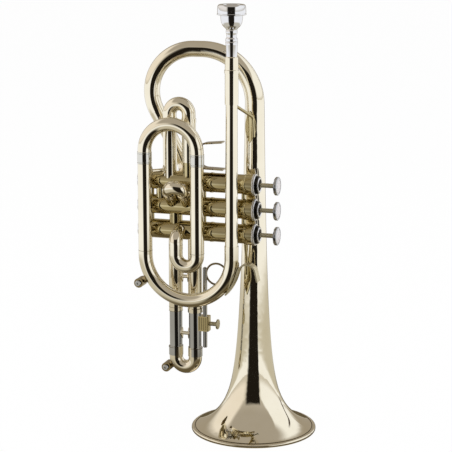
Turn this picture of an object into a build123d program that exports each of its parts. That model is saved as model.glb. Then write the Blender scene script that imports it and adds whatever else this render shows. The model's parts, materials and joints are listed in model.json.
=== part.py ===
"""A shepherd's-crook cornet with three piston valves, standing on its bell.

Frame: the origin is the centre of the bell's rim plane and +Z runs up the bell.
+X points to the finger buttons and -Y to the leadpipe side. All sizes in mm.
"""
from build123d import *
from math import cos, exp, hypot, radians, sin, sqrt
import os

os.makedirs("parts", exist_ok=True)

# ---- windway and slide fits ----
bore_radius = 5.75
slide_wall = 0.35
slide_clearance = 0.05
outer_tube_wall = 0.4
crook_wall = 0.65
ferrule_step = 0.3
closed_gap = 0.1
joint_overlap = 5.0

slide_radius = bore_radius + slide_wall
sleeve_bore = slide_radius + slide_clearance
tube_radius = sleeve_bore + outer_tube_wall
crook_radius = bore_radius + crook_wall
ferrule_radius = tube_radius + ferrule_step

# ---- bell ----
bell_rim_radius = 60.3
bell_top_radius = 9.1
bell_flare = 14.0
bell_curl = 15.0
bell_wall = 0.7
bell_top = 316.0
rim_bead_radius = 1.3
rim_wire_radius = 0.7
rim_flat = 0.2
bell_stations = 12
bell_lip_z = 2 * rim_bead_radius - rim_flat
rim_bead_z = rim_bead_radius - rim_flat

# ---- shepherd's crook, in a plane turned about the bell's axis ----
crook_turn = 5.6
crook_start_run = 1.6
crook_right_radius = 50.0
crook_left_radius = 40.5
crook_left_sweep = 118.0
crook_top_run = 8.7
crook_mid_radius = 7.5
crook_end_radius = 6.4
crook_entry_bend = 12.0

# ---- planes of the two layers of tubing ----
leadpipe_y = -46.0
valve_y = -26.0
first_slide_y = -28.0

# ---- mouthpiece, receiver and leadpipe ----
leadpipe_x = -8.0
leadpipe_top_radius = 5.4
leadpipe_low_radius = 6.1
leadpipe_wall = 0.7
leadpipe_low_z = 190.5
sleeve_low_z = 322.5
sleeve_top_z = 350.8
sleeve_radius = 6.2
receiver_top_z = 365.7
receiver_top_radius = 6.0
receiver_ring_radius = 6.7
receiver_ring_height = 2.9
leadpipe_overlap = 18.0
shank_end_z = 342.5
shank_end_radius = 4.55
shank_taper = 0.0215
mouthpiece_clearance = 0.05
mouthpiece_top_z = 412.9
mouthpiece_rim_radius = 13.35
cup_radius = 8.3
cup_depth = 12.0
throat_radius = 1.85
backbore_radius = 3.9

# ---- big bow and main tuning slide ----
main_left_x = -93.1
main_right_x = -41.6
lead_bow_z = 177.8
main_low_z = 181.0
main_top_z = 263.5
ferrule_height = 11.3
main_crook_z = 275.9
main_inner_length = 62.0

# ---- valves ----
middle_valve_z = 221.9
valve_pitch = 23.6
casing_radius = 9.1
casing_wall = 0.8
casing_low_x = -102.8
casing_top_x = 4.8
casing_ring_x = -33.2
casing_ring_width = 2.2
casing_ring_step = 0.4
piston_clearance = 0.05
valve_travel = 13.8
stem_radius = 2.1
stem_clearance = 0.08

# ---- valve caps, felts and finger buttons ----
top_cap_low_x = -0.6
top_cap_flange_x = 7.8
top_cap_flange = 1.3
top_cap_roof_x = 8.2
top_cap_nose_x = 12.0
top_cap_radius = 10.0
top_cap_flange_radius = 10.3
top_cap_nose_radius = 5.2
cap_felt_radius = 5.0
cap_felt_thickness = 1.0
inner_felt_thickness = 2.0
felt_clearance = 0.2
bottom_cap_length = 8.5
bottom_cap_end = 2.5
bottom_cap_radius = 9.9
bottom_cap_hole_radius = 2.0
button_radius = 8.65
button_thickness = 4.3
button_neck_radius = 3.2
pearl_radius = 7.1
pearl_depth = 1.2
pearl_clearance = 0.05

# ---- inside the valves ----
piston_top_x = -30.2
piston_floor_gap = 0.4
barrel_wall = 0.7
barrel_plug = 3.0
guide_thickness = 2.4
guide_width = 3.4
guide_gap = 0.5
guide_hub_radius = 6.4
slot_width = 4.2
slot_clearance = 0.4
spring_gap = 0.3
spring_radius = 5.6
spring_wire = 0.45
spring_turns = 8

# ---- places of the tubes along the valves ----
knuckle_12_x = -82.6
knuckle_23_x = -69.6
knuckle_radius = 6.15
entry_x = -62.8
entry_bend = 9.5
entry_bow_z = 178.5
entry_ring_z = 183.4
entry_ring_height = 5.0
tail_x = -65.0
spacer_radius = 1.8
spacer_xs = (-93.2, -41.2, -2.8)

# ---- first valve slide ----
first_left_x = -74.4
first_right_x = -55.6
first_outer_top_z = 297.5
first_crook_z = 309.1
first_seam_z = 305.0
first_sleeve_low_z = 264.1
first_inner_low_z = 259.5
first_joint_drop = 1.3

# ---- second valve slide, which leans up and out ----
second_left_x = -70.8
second_right_x = -56.4
second_lean = 45.0
second_outer_length = 17.0
second_crook_length = 21.9
second_inner_start = 9.4
second_joint_overlap = 3.0

# ---- third valve slide ----
third_left_x = -70.2
third_right_x = -50.8
third_outer_low_z = 119.0
third_inner_length = 100.0
third_ferrule_top_z = 84.3
third_ferrule_low_z = 75.4
third_crook_z = 73.6
third_end_ring_height = 3.8

# ---- clamp, rod, ring and thumb screw on the third slide ----
rod_x = -40.8
rod_radius = 2.1
rod_low_z = 84.7
rod_top_z = 163.5
rod_clearance = 0.05
block_low_z = 101.5
block_tube_gap = 3.0
block_depth = 8.4
block_left_x = -48.8
block_right_x = -36.2
ring_z = 157.6
ring_radius = 10.2
ring_wire = 0.95
screw_z = 108.6
screw_radius = 2.0
screw_tip_gap = 0.2
screw_length = 9.6
screw_head_radius = 4.8
screw_head_thickness = 1.6

# ---- braces, hook and saddle ----
brace_rod_radius = 1.7
brace_flange_height = 11.0
brace_flange_width = 7.0
brace_flange_thickness = 0.9
third_brace_z = 97.3
third_outer_brace_z = 153.2
slide_brace_z = 255.9
strut_radius = 1.45
leaf_thickness = 0.9
post_radius = 2.2
leadpipe_post_x = -8.0
bell_post_x = -4.4
bell_seat_gap = 0.08
bell_cut_reach = 12.0
slide_brace_height = 9.0
upper_leaf_low_z = 282.0
upper_leaf_height = 30.0
upper_leaf_angle = -10.0
upper_leaf_width = 11.0
lower_leaf_low_z = 136.5
lower_leaf_height = 34.0
lower_leaf_angle = -12.0
lower_leaf_width = 7.2
hook_thickness = 1.4
hook_width = 9.0
hook_low_angle = -42.0
hook_leave_angle = -18.0
hook_plate_angle = -22.0
hook_plate_length = 33.0
hook_plate_width = 10.0
hook_plate_thickness = 0.9
hook_near_x = 51.9
hook_far_x = 64.9
hook_tip_x = 68.5
hook_seat_drop = 3.4
hook_tip_drop = 19.0
saddle_thickness = 1.3
saddle_width = 10.0
saddle_upper_reach = 27.0
saddle_upper_rise = 20.3
saddle_upper_bend = 10.0
saddle_bend_rise = 18.6
saddle_back_top = 15.0
saddle_back_low = 1.0
saddle_lower_bend = 8.5
saddle_bend_drop = 4.8
saddle_lower_reach = 28.0
saddle_lower_drop = 5.2

# ---- water keys ----
key_radius = 4.5
key_length = 12.0
key_bore_radius = 2.9
key_end_wall = 2.0
plunger_clearance = 0.05
plunger_length = 8.6
key_travel = 1.8
key_head_stand = 2.0
key_neck_radius = 3.0
bow_key_angle = 210.5
third_key_angle = 210.0
bow_key_stand = 1.8
third_key_stand = 0.4
drain_radius = 1.1


def write(part, name):
    """label a finished piece and write it under its own name"""
    part.label = name
    export_step(part, f"parts/{name}.step")


def straight(start, end, outer, inner=0.0):
    """a round rod or tube between two points"""
    axis = Vector(*end) - Vector(*start)
    with BuildPart() as run:
        with BuildSketch(Plane(origin=start, z_dir=axis)):
            Circle(outer)
            if inner > 0:
                Circle(inner, mode=Mode.SUBTRACT)
        extrude(amount=axis.length)
    return run.part


def along(route, outer, inner=0.0):
    """a round rod or tube that follows a route of lines and arcs"""
    with BuildPart() as run:
        with BuildSketch(Plane(origin=route @ 0, z_dir=route % 0)):
            Circle(outer)
            if inner > 0:
                Circle(inner, mode=Mode.SUBTRACT)
        sweep(path=route)
    return run.part


def cone_along(edge, start_radius, end_radius):
    """a round solid that tapers evenly along one line or arc"""
    with BuildPart() as run:
        with BuildSketch(Plane(origin=edge @ 0, z_dir=edge % 0)):
            Circle(start_radius)
        with BuildSketch(Plane(origin=edge @ 1, z_dir=edge % 1)):
            Circle(end_radius)
        sweep(path=edge, multisection=True)
    return run.part


def strip(route, width, thickness):
    """a flat strip, wide along Y, that follows a route in an XZ plane"""
    with BuildPart() as run:
        start = Plane(origin=route @ 0, x_dir=(0, 1, 0), z_dir=route % 0)
        with BuildSketch(start):
            Rectangle(width, thickness)
        sweep(path=route, transition=Transition.ROUND)
    return run.part


def turned(points, axis_origin, axis_direction):
    """a solid of revolution from (radius, height) points along an axis"""
    side = Plane(origin=axis_origin, z_dir=axis_direction)
    upright = Plane(origin=axis_origin, x_dir=side.x_dir, z_dir=side.x_dir.cross(side.z_dir))
    with BuildPart() as body:
        with BuildSketch(upright):
            with BuildLine():
                Polyline(*points, close=True)
            make_face()
        revolve(axis=Axis(axis_origin, axis_direction))
    return body.part


def u_bend(left_x, right_x, y, straight_z, centre_z, direction):
    """a route down one leg, round a half circle and back up the other"""
    radius = (right_x - left_x) / 2
    middle = (left_x + right_x) / 2
    with BuildLine() as route:
        Line((right_x, y, straight_z), (right_x, y, centre_z))
        ThreePointArc(
            (right_x, y, centre_z),
            (middle, y, centre_z + direction * radius),
            (left_x, y, centre_z),
        )
        Line((left_x, y, centre_z), (left_x, y, straight_z))
    return route.wire()


horn_scale = bell_top_radius * sqrt(bell_top - bell_lip_z + bell_flare)
curl_reach = bell_rim_radius - rim_bead_radius - horn_scale / sqrt(bell_flare)


def bell_radius(z):
    """outside radius of the bell: a horn that opens downwards, and a curl that turns out at the rim"""
    height = z - bell_lip_z
    return horn_scale / sqrt(height + bell_flare) + curl_reach * exp(-height / bell_curl)


def bell_slope(z):
    """how fast the bell's radius grows with height, which is less than nothing"""
    height = z - bell_lip_z
    horn = horn_scale / (2 * (height + bell_flare) ** 1.5)
    return -horn - curl_reach / bell_curl * exp(-height / bell_curl)


def bell_point(z, depth=0.0):
    """a point of the bell's profile, set in from its outside by a depth"""
    tilt = hypot(1, bell_slope(z))
    return (bell_radius(z) - depth / tilt, z + depth * bell_slope(z) / tilt)


def bell_heights():
    """heights of the profile's stations, closer together near the rim"""
    span = bell_top - bell_lip_z
    return [bell_lip_z + span * (i / bell_stations) ** 2.6 for i in range(bell_stations + 1)]


def bell_core(extra, low_z, high_z):
    """a solid with the bell's outside surface grown by extra, between two heights"""
    steps = 6
    heights = [low_z + (high_z - low_z) * i / steps for i in range(steps + 1)]
    with BuildPart() as core:
        with BuildSketch(Plane.XZ):
            with BuildLine():
                Spline(*[bell_point(z, -extra) for z in heights])
                top = bell_point(high_z, -extra)
                low = bell_point(low_z, -extra)
                Polyline(top, (0, top[1]), (0, low[1]), low)
            make_face()
        revolve(axis=Axis.Z)
    return core.part


# ================= bell =================
with BuildPart() as bell:
    with BuildSketch(Plane.XZ):
        with BuildLine():
            Spline(*[bell_point(z) for z in bell_heights()])
            Line(bell_point(bell_top), (bell_radius(bell_top) - bell_wall, bell_top))
            inside = [bell_point(z, bell_wall) for z in bell_heights()[:-1]]
            Spline(*inside, (bell_radius(bell_top) - bell_wall, bell_top))
            Line(inside[0], bell_point(bell_heights()[0]))
        make_face()
        with Locations((bell_rim_radius - rim_bead_radius, rim_bead_z)):
            Circle(rim_bead_radius)
            Circle(rim_wire_radius, mode=Mode.SUBTRACT)
    revolve(axis=Axis.Z)
    # the bead is flattened where the bell stands on it
    split(bisect_by=Plane.XY, keep=Keep.TOP)
write(bell.part, "bell")

with BuildPart() as bell_rim_wire:
    with BuildSketch(Plane.XZ):
        with Locations((bell_rim_radius - rim_bead_radius, rim_bead_z)):
            Circle(rim_wire_radius)
    revolve(axis=Axis.Z)
write(bell_rim_wire.part, "bell_rim_wire")

# ================= valve places =================
valve_zs = [middle_valve_z + valve_pitch, middle_valve_z, middle_valve_z - valve_pitch]


def casing_core(number, radius=casing_radius):
    """a solid cylinder on a valve's axis, longer than its casing"""
    z = valve_zs[number]
    return straight((casing_low_x, valve_y, z), (casing_top_x, valve_y, z), radius)


# ================= shepherd's crook =================
def in_crook(u, z):
    """a point of the crook's plane, u out from the bell's axis and z up"""
    return Vector(-u * cos(radians(crook_turn)), -u * sin(radians(crook_turn)), z)


right_centre_z = bell_top + crook_start_run
crook_top_z = right_centre_z + crook_right_radius
left_u = crook_right_radius + crook_top_run
left_centre_z = crook_top_z - crook_left_radius
left_end_angle = radians(crook_left_sweep)
tail_u = left_u + crook_left_radius * sin(left_end_angle)
tail_z = left_centre_z + crook_left_radius * cos(left_end_angle)
tail_start = in_crook(tail_u, tail_z)
# the straight tail runs down its tangent until it is level with its place on the valve
tail_run = (tail_u + tail_x / cos(radians(crook_turn))) / -cos(left_end_angle)
tail_corner = in_crook(-tail_x / cos(radians(crook_turn)), tail_z - tail_run * sin(left_end_angle))
tail_end = Vector(tail_x, valve_y, valve_zs[0])

with BuildLine() as right_arc:
    half = radians(45)
    ThreePointArc(
        in_crook(0, right_centre_z),
        in_crook(crook_right_radius * (1 - cos(half)), right_centre_z + crook_right_radius * sin(half)),
        in_crook(crook_right_radius, crook_top_z),
    )
with BuildLine() as top_line:
    Line(in_crook(crook_right_radius, crook_top_z), in_crook(left_u, crook_top_z))
with BuildLine() as left_arc:
    half = left_end_angle / 2
    ThreePointArc(
        in_crook(left_u, crook_top_z),
        in_crook(left_u + crook_left_radius * sin(half), left_centre_z + crook_left_radius * cos(half)),
        tail_start,
    )
with BuildLine() as tail_line:
    FilletPolyline(tail_start, tail_corner, tail_end, radius=crook_entry_bend)

bell_end_radius = bell_radius(bell_top)
with BuildLine() as start_line:
    Line(in_crook(0, bell_top), in_crook(0, right_centre_z))
crook_edges = [start_line.edge(), right_arc.edge(), top_line.edge(), left_arc.edge()]
crook_edges += tail_line.wire().edges()
crook_radii = [bell_end_radius, bell_end_radius, crook_mid_radius, crook_mid_radius]
crook_radii += [crook_mid_radius, crook_end_radius, crook_end_radius, crook_end_radius]
crook_ends = list(zip(crook_edges, crook_radii[:-1], crook_radii[1:]))
crook_skin = [cone_along(edge, start, end) for edge, start, end in crook_ends]
crook_hollow = [cone_along(edge, start - bell_wall, end - bell_wall) for edge, start, end in crook_ends]

with BuildPart() as bell_crook:
    add(crook_skin)
    add(crook_hollow, mode=Mode.SUBTRACT)
    add(casing_core(0), mode=Mode.SUBTRACT)
write(bell_crook.part, "bell_crook")

# ================= mouthpiece, receiver and leadpipe =================
leadpipe_axis = (leadpipe_x, leadpipe_y, 0)


def shank_radius(z):
    """the shank's taper, thicker towards the cup"""
    return shank_end_radius + shank_taper * (z - shank_end_z)


def shank_bore(low_z, high_z):
    """the tapered hole that the shank seats in"""
    low = shank_radius(low_z) + mouthpiece_clearance
    high = shank_radius(high_z) + mouthpiece_clearance
    points = [(0, low_z), (low, low_z), (high, high_z), (0, high_z)]
    return turned(points, leadpipe_axis, (0, 0, 1))


leadpipe_top_z = sleeve_low_z + leadpipe_overlap
shank_top_drop = 32.7
# radius and drop below the top, from the shank's shoulder up to the rim
mouthpiece_skin = [
    (5.1, 32.3),
    (5.6, 31.1),
    (5.6, 28.6),
    (4.6, 27.2),
    (4.3, 25.5),
    (4.5, 23.5),
    (5.2, 22.7),
    (5.3, 21.0),
    (4.9, 19.6),
    (5.7, 18.8),
    (7.1, 17.6),
    (8.4, 15.7),
    (9.4, 12.9),
    (9.9, 10.0),
    (10.1, 7.5),
    (12.4, 7.0),
    (13.1, 6.3),
    (mouthpiece_rim_radius, 5.1),
    (mouthpiece_rim_radius - 0.3, 2.6),
    (mouthpiece_rim_radius - 1.3, 0.7),
    (mouthpiece_rim_radius - 2.9, 0.0),
    (9.4, 0.0),
    (cup_radius, 1.3),
    (cup_radius - 0.35, 3.4),
    (cup_radius - 1.6, 6.8),
    (cup_radius - 3.8, 9.8),
    (throat_radius + 0.6, cup_depth),
    (throat_radius, cup_depth + 1.8),
    (throat_radius, cup_depth + 9.0),
]
shank_top_z = mouthpiece_top_z - shank_top_drop
mouthpiece_points = [
    (backbore_radius, shank_end_z),
    (shank_end_radius, shank_end_z),
    (shank_radius(shank_top_z), shank_top_z),
]
mouthpiece_points += [(radius, mouthpiece_top_z - drop) for radius, drop in mouthpiece_skin]
with BuildPart() as mouthpiece:
    add(turned(mouthpiece_points, leadpipe_axis, (0, 0, 1)))
write(mouthpiece.part, "mouthpiece")

receiver_points = [
    (0, sleeve_top_z),
    (receiver_ring_radius, sleeve_top_z),
    (receiver_ring_radius, sleeve_top_z + receiver_ring_height),
    (sleeve_radius, sleeve_top_z + receiver_ring_height + 0.4),
    (receiver_top_radius, receiver_top_z - 0.6),
    (receiver_top_radius - 0.4, receiver_top_z),
    (0, receiver_top_z),
]
with BuildPart() as mouthpiece_receiver:
    add(turned(receiver_points, leadpipe_axis, (0, 0, 1)))
    add(shank_bore(sleeve_top_z, receiver_top_z), mode=Mode.SUBTRACT)
write(mouthpiece_receiver.part, "mouthpiece_receiver")

with BuildPart() as leadpipe_sleeve:
    with BuildSketch(Plane.XY.offset(sleeve_low_z)):
        with Locations((leadpipe_x, leadpipe_y)):
            Circle(sleeve_radius)
    extrude(amount=sleeve_top_z - sleeve_low_z)
    with BuildSketch(Plane.XY.offset(sleeve_low_z)):
        with Locations((leadpipe_x, leadpipe_y)):
            Circle(leadpipe_top_radius)
    extrude(amount=leadpipe_overlap, mode=Mode.SUBTRACT)
    add(shank_bore(leadpipe_top_z, sleeve_top_z), mode=Mode.SUBTRACT)
write(leadpipe_sleeve.part, "leadpipe_sleeve")

pipe_points = [
    (leadpipe_top_radius - leadpipe_wall, leadpipe_top_z),
    (leadpipe_top_radius, leadpipe_top_z),
    (leadpipe_top_radius, sleeve_low_z - 1.0),
    (leadpipe_low_radius, leadpipe_low_z),
    (bore_radius - leadpipe_wall / 2, leadpipe_low_z),
]
with BuildPart() as leadpipe:
    add(turned(pipe_points, leadpipe_axis, (0, 0, 1)))
write(leadpipe.part, "leadpipe")

# ================= big bow and main tuning slide =================
bow_radius = (leadpipe_x - main_left_x) / 2
bow_x = (leadpipe_x + main_left_x) / 2
with BuildLine() as bow_route:
    Line((leadpipe_x, leadpipe_y, leadpipe_low_z), (leadpipe_x, leadpipe_y, lead_bow_z))
    ThreePointArc(
        (leadpipe_x, leadpipe_y, lead_bow_z),
        (bow_x, leadpipe_y, lead_bow_z - bow_radius),
        (main_left_x, leadpipe_y, lead_bow_z),
    )
    Line((main_left_x, leadpipe_y, lead_bow_z), (main_left_x, leadpipe_y, main_low_z))
bow_outside = along(bow_route.wire(), tube_radius)

main_xs = (main_left_x, main_right_x)
main_tops = {x: (x, leadpipe_y, main_top_z) for x in main_xs}
with BuildPart() as main_outer_tubes:
    for x in main_xs:
        add(straight((x, leadpipe_y, main_low_z), main_tops[x], tube_radius, sleeve_bore))
write(main_outer_tubes.part, "main_outer_tubes")

main_ferrule_low_z = main_top_z + closed_gap
main_ferrule_top_z = main_top_z + ferrule_height
main_joint_z = main_ferrule_top_z - joint_overlap
with BuildPart() as main_slide_tubes:
    for x in main_xs:
        low = (x, leadpipe_y, main_top_z - main_inner_length)
        add(straight(low, (x, leadpipe_y, main_joint_z), slide_radius, bore_radius))
write(main_slide_tubes.part, "main_slide_tubes")

with BuildPart() as main_slide_ferrules:
    for x in main_xs:
        low = (x, leadpipe_y, main_ferrule_low_z)
        high = (x, leadpipe_y, main_ferrule_top_z)
        add(straight(low, high, ferrule_radius, slide_radius))
        add(straight((x, leadpipe_y, main_joint_z), high, crook_radius), mode=Mode.SUBTRACT)
write(main_slide_ferrules.part, "main_slide_ferrules")

main_crook_route = u_bend(main_left_x, main_right_x, leadpipe_y, main_joint_z, main_crook_z, 1)
with BuildPart() as main_slide_crook:
    add(along(main_crook_route, crook_radius, bore_radius))
write(main_slide_crook.part, "main_slide_crook")

# ================= ports of the valves =================
second_up = Vector(0, -cos(radians(second_lean)), sin(radians(second_lean)))
tail_way = (tail_corner - tail_end).normalized()
up = Vector(0, 0, 1)
front = Vector(0, -1, 0)


def on_valve(number, x, way=None, distance=0.0):
    """a point on a valve's axis, or at a distance from it along a way"""
    point = Vector(x, valve_y, valve_zs[number])
    return point + way * distance if way else point


def slid(x):
    """a slide port's place on the piston, which meets it when the valve is down"""
    return x + valve_travel


first_shift = Vector(0, first_slide_y - valve_y, 0)
open_ports = (
    ((knuckle_12_x, up * -1), (tail_x, tail_way)),
    ((knuckle_12_x, up), (knuckle_23_x, up * -1)),
    ((knuckle_23_x, up), (entry_x, front)),
)
slide_ports = (
    ((first_left_x, up), (first_right_x, up)),
    ((second_left_x, second_up), (second_right_x, second_up)),
    ((third_left_x, up * -1), (third_right_x, up * -1)),
)
slide_shifts = (first_shift, Vector(0, 0, 0), Vector(0, 0, 0))

# ================= valve casings, caps and felts =================
port_reach = casing_radius + 1.0
for number, z in enumerate(valve_zs):
    ring_start = on_valve(number, casing_ring_x - casing_ring_width / 2)
    ring_end = on_valve(number, casing_ring_x + casing_ring_width / 2)
    with BuildPart() as valve_casing:
        add(casing_core(number))
        add(straight(ring_start, ring_end, casing_radius + casing_ring_step))
        add(casing_core(number, casing_radius - casing_wall), mode=Mode.SUBTRACT)
        for x, way in open_ports[number]:
            start = on_valve(number, x)
            port = straight(start, start + way * port_reach, bore_radius)
            add(port, mode=Mode.SUBTRACT)
        for x, way in slide_ports[number]:
            start = on_valve(number, x) + slide_shifts[number]
            port = straight(start, start + way * port_reach, bore_radius)
            add(port, mode=Mode.SUBTRACT)
    write(valve_casing.part, f"valve_casing_{number + 1}")

piston_radius = casing_radius - casing_wall - piston_clearance
stem_hole_radius = stem_radius + stem_clearance
flange_top_x = top_cap_flange_x + top_cap_flange
top_cap_points = [
    (casing_radius, top_cap_low_x),
    (top_cap_radius, top_cap_low_x),
    (top_cap_radius, top_cap_flange_x),
    (top_cap_flange_radius, top_cap_flange_x),
    (top_cap_flange_radius, flange_top_x),
    (top_cap_flange_radius - 1.2, flange_top_x + 0.7),
    (top_cap_nose_radius + 2.4, top_cap_nose_x - 1.2),
    (top_cap_nose_radius, top_cap_nose_x),
    (stem_hole_radius, top_cap_nose_x),
    (stem_hole_radius, top_cap_roof_x),
    (casing_radius - casing_wall, top_cap_roof_x),
    (casing_radius - casing_wall, casing_top_x),
    (casing_radius, casing_top_x),
]
cap_end_x = casing_low_x - bottom_cap_end
bottom_cap_points = [
    (casing_radius, cap_end_x + bottom_cap_length),
    (casing_radius, casing_low_x),
    (bottom_cap_hole_radius, casing_low_x),
    (bottom_cap_hole_radius, cap_end_x),
    (bottom_cap_radius - 0.9, cap_end_x),
    (bottom_cap_radius, cap_end_x + 0.9),
    (bottom_cap_radius, cap_end_x + bottom_cap_length),
]
valve_origins = [(0, valve_y, z) for z in valve_zs]
with BuildPart() as top_caps:
    for origin in valve_origins:
        add(turned(top_cap_points, origin, (1, 0, 0)))
write(top_caps.part, "top_caps")

with BuildPart() as bottom_caps:
    for origin in valve_origins:
        add(turned(bottom_cap_points, origin, (1, 0, 0)))
write(bottom_caps.part, "bottom_caps")

felt_top_x = top_cap_nose_x + cap_felt_thickness
with BuildPart() as cap_felts:
    for number in range(3):
        nose = on_valve(number, top_cap_nose_x)
        add(straight(nose, on_valve(number, felt_top_x), cap_felt_radius, stem_hole_radius))
        roof = on_valve(number, top_cap_roof_x)
        under = on_valve(number, top_cap_roof_x - inner_felt_thickness)
        add(straight(under, roof, casing_radius - casing_wall - 1.0, stem_hole_radius))
write(cap_felts.part, "cap_felts")

# ================= pistons, guides, springs and finger buttons =================
plug_top_x = top_cap_roof_x - inner_felt_thickness - felt_clearance
plug_low_x = plug_top_x - barrel_plug
piston_low_x = casing_low_x + valve_travel + piston_floor_gap
button_low_x = felt_top_x + valve_travel + felt_clearance
button_top_x = button_low_x + button_thickness
stem_end_x = button_low_x + button_thickness - pearl_depth - 1.0
guide_low_x = piston_top_x + guide_gap
guide_top_x = guide_low_x + guide_thickness
slot_top_x = guide_top_x + valve_travel + slot_clearance
barrel_bore = piston_radius - barrel_wall
for number in range(3):
    with BuildPart() as piston:
        add(straight(on_valve(number, piston_low_x), on_valve(number, plug_top_x), piston_radius))
        room_start = on_valve(number, piston_top_x)
        add(straight(room_start, on_valve(number, plug_low_x), barrel_bore), mode=Mode.SUBTRACT)
        slot_centre = on_valve(number, (piston_top_x + slot_top_x) / 2)
        with Locations(slot_centre):
            slot_length = slot_top_x - piston_top_x
            Box(slot_length, 2 * casing_radius, slot_width, mode=Mode.SUBTRACT)
        # the bent passages inside are drawn as straight bores that meet at the axis
        for x, way in open_ports[number]:
            start = on_valve(number, x)
            add(straight(start, start + way * port_reach, bore_radius), mode=Mode.SUBTRACT)
        for x, way in slide_ports[number]:
            start = on_valve(number, slid(x), way, piston_radius - 2.5) + slide_shifts[number]
            add(straight(start, start + way * port_reach, bore_radius), mode=Mode.SUBTRACT)
        add(straight(on_valve(number, plug_top_x), on_valve(number, stem_end_x), stem_radius))
    write(piston.part, f"piston_{number + 1}")

    coil_start = guide_top_x + spring_gap + spring_wire
    coil_length = plug_low_x - spring_gap - spring_wire - coil_start
    with BuildPart() as valve_spring:
        with BuildLine() as coil:
            Helix(
                pitch=coil_length / spring_turns,
                height=coil_length,
                radius=spring_radius,
                center=on_valve(number, coil_start),
                direction=(1, 0, 0),
            )
        with BuildSketch(Plane(origin=coil.edge() @ 0, z_dir=coil.edge() % 0)):
            Circle(spring_wire)
        sweep(path=coil.edge(), is_frenet=True)
    write(valve_spring.part, f"valve_spring_{number + 1}")

    button_points = [
        (0, button_low_x),
        (button_neck_radius, button_low_x),
        (button_radius - 0.6, button_low_x + 1.1),
        (button_radius, button_low_x + 1.8),
        (button_radius, button_top_x - 0.5),
        (button_radius - 0.5, button_top_x),
        (pearl_radius + pearl_clearance, button_top_x),
        (pearl_radius + pearl_clearance, button_top_x - pearl_depth),
        (0, button_top_x - pearl_depth),
    ]
    with BuildPart() as finger_button:
        add(turned(button_points, valve_origins[number], (1, 0, 0)))
        low = on_valve(number, button_low_x)
        add(straight(low, on_valve(number, stem_end_x), stem_radius), mode=Mode.SUBTRACT)
    write(finger_button.part, f"finger_button_{number + 1}")

    pearl_points = [
        (0, button_top_x - pearl_depth),
        (pearl_radius, button_top_x - pearl_depth),
        (pearl_radius, button_top_x - 0.2),
        (pearl_radius - 1.6, button_top_x + 0.15),
        (0, button_top_x + 0.35),
    ]
    with BuildPart() as pearl:
        add(turned(pearl_points, valve_origins[number], (1, 0, 0)))
    write(pearl.part, f"pearl_{number + 1}")

with BuildPart() as valve_guides:
    for number in range(3):
        add(straight(on_valve(number, guide_low_x), on_valve(number, guide_top_x), guide_hub_radius))
        with Locations(on_valve(number, (guide_low_x + guide_top_x) / 2)):
            Box(guide_thickness, 2 * casing_radius, guide_width)
    bores = []
    for number in range(3):
        bores.append(casing_core(number, casing_radius - casing_wall))
    add(bores, mode=Mode.INTERSECT)
write(valve_guides.part, "valve_guides")

# ================= knuckles and spacers between the casings =================
with BuildPart() as casing_knuckles:
    for number, x in enumerate((knuckle_12_x, knuckle_23_x)):
        add(straight(on_valve(number + 1, x), on_valve(number, x), knuckle_radius, bore_radius))
    for number in range(3):
        add(casing_core(number), mode=Mode.SUBTRACT)
write(casing_knuckles.part, "casing_knuckles")

with BuildPart() as casing_spacers:
    for number in range(2):
        for x in spacer_xs:
            add(straight(on_valve(number + 1, x), on_valve(number, x), spacer_radius))
    for number in range(3):
        add(casing_core(number), mode=Mode.SUBTRACT)
write(casing_spacers.part, "casing_spacers")

# ================= bow from the main slide into the third valve =================
entry_z = valve_zs[2]
entry_route_radius = (main_right_x - entry_x) / 2
entry_middle_x = (main_right_x + entry_x) / 2
bend_shift = entry_bend * (1 - cos(radians(45)))
with BuildLine() as entry_route:
    Line((main_right_x, leadpipe_y, main_low_z), (main_right_x, leadpipe_y, entry_bow_z))
    ThreePointArc(
        (main_right_x, leadpipe_y, entry_bow_z),
        (entry_middle_x, leadpipe_y, entry_bow_z - entry_route_radius),
        (entry_x, leadpipe_y, entry_bow_z),
    )
    Line((entry_x, leadpipe_y, entry_bow_z), (entry_x, leadpipe_y, entry_z - entry_bend))
    ThreePointArc(
        (entry_x, leadpipe_y, entry_z - entry_bend),
        (entry_x, leadpipe_y + bend_shift, entry_z - bend_shift),
        (entry_x, leadpipe_y + entry_bend, entry_z),
    )
    Line((entry_x, leadpipe_y + entry_bend, entry_z), (entry_x, valve_y - 5.0, entry_z))
ring_low = (entry_x, leadpipe_y, entry_ring_z)
ring_high = (entry_x, leadpipe_y, entry_ring_z + entry_ring_height)
with BuildPart() as entry_bow:
    add(along(entry_route.wire(), crook_radius))
    add(straight(ring_low, ring_high, tube_radius))
    add(along(entry_route.wire(), bore_radius), mode=Mode.SUBTRACT)
    add(casing_core(2), mode=Mode.SUBTRACT)
write(entry_bow.part, "entry_bow")

# ================= first valve slide and thumb saddle =================
first_z = valve_zs[0]
first_joint_z = first_outer_top_z + closed_gap + joint_overlap - first_joint_drop
with BuildPart() as first_outer_tube:
    low = (first_left_x, first_slide_y, first_z)
    high = (first_left_x, first_slide_y, first_outer_top_z)
    add(straight(low, high, tube_radius, sleeve_bore))
    add(casing_core(0), mode=Mode.SUBTRACT)
write(first_outer_tube.part, "first_outer_tube")

with BuildPart() as first_fixed_tube:
    low = (first_right_x, first_slide_y, first_z)
    high = (first_right_x, first_slide_y, first_outer_top_z)
    add(straight(low, high, slide_radius, bore_radius))
    add(casing_core(0), mode=Mode.SUBTRACT)
write(first_fixed_tube.part, "first_fixed_tube")

with BuildPart() as first_slide_tube:
    low = (first_left_x, first_slide_y, first_inner_low_z)
    high = (first_left_x, first_slide_y, first_joint_z)
    add(straight(low, high, slide_radius, bore_radius))
write(first_slide_tube.part, "first_slide_tube")

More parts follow.
